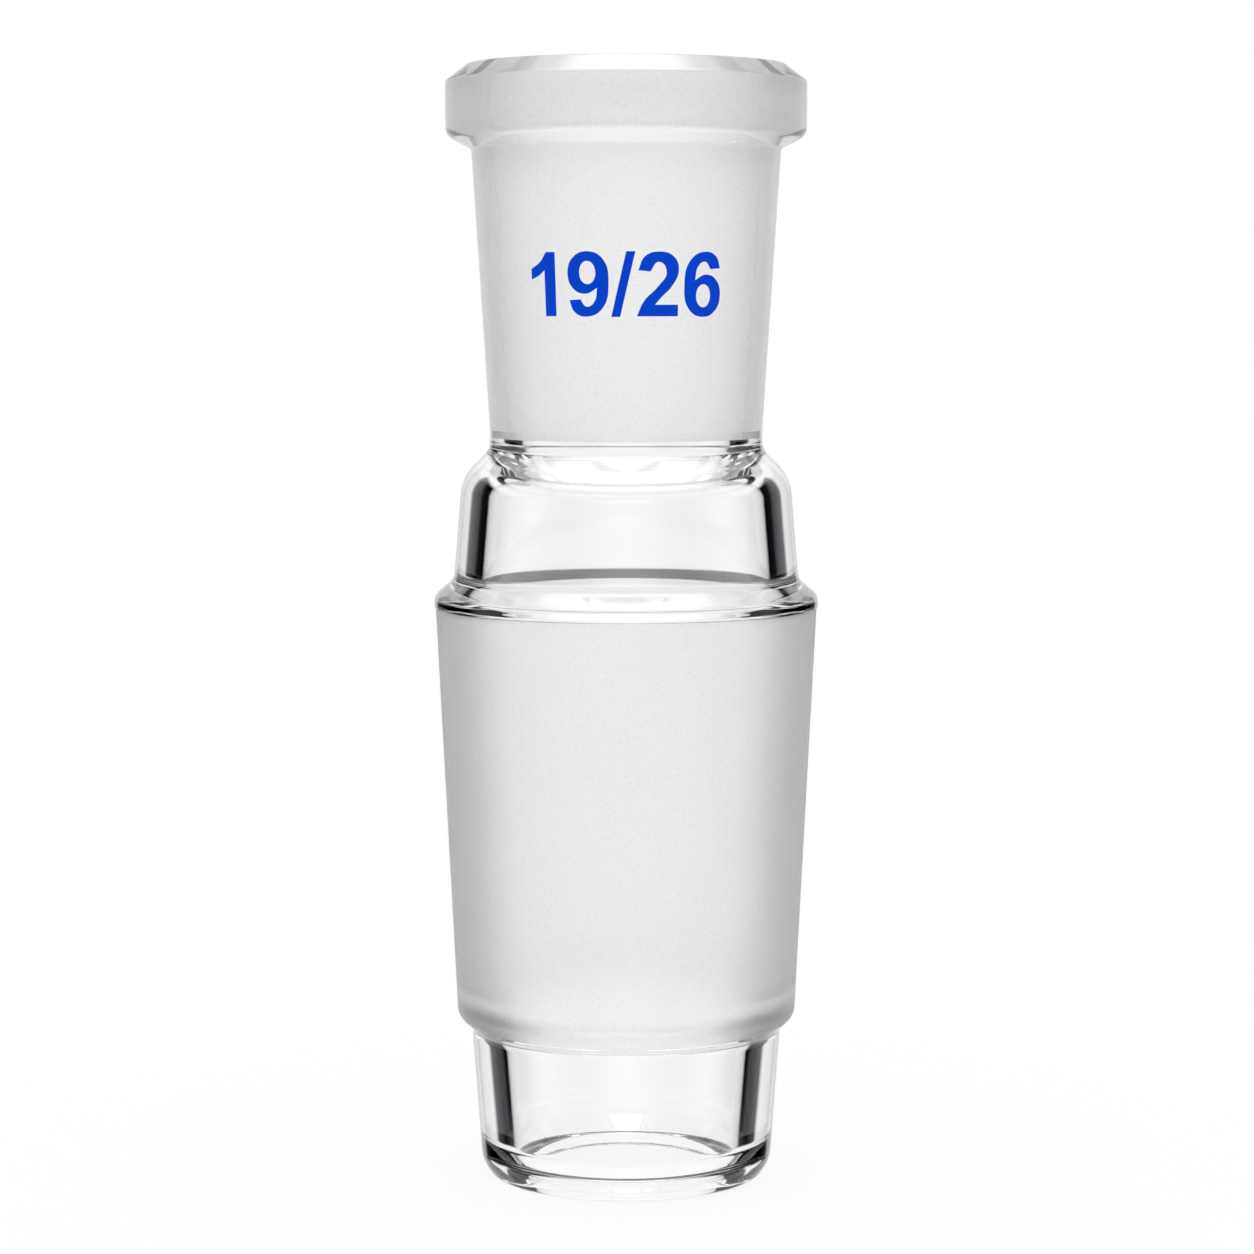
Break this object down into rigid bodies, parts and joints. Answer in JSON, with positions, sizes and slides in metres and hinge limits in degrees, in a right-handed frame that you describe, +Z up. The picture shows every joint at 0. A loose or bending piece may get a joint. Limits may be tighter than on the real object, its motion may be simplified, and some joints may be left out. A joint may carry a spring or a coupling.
{
  "type": "reduction adapter",
  "caption": "Clear glass reduction adapter with a small ground socket over a short bulb, and a larger ground cone with a drip tip below, to join unlike ground joints.",
  "frame": {"origin": "centre of the ring at the foot of the drip tip, on the surface the adapter stands on", "axes": "+Z up the glass's axis, from the drip tip to the mouth of the socket. X and Y are free, because the body is round."},
  "size_m": [0.0294, 0.0294, 0.0851],
  "materials": {
    "borosilicate_glass": "fire polished, with ground joints"
  },
  "bodies": {
    "root": {"adapter_body": "borosilicate_glass"}
  },
  "joints": []
}
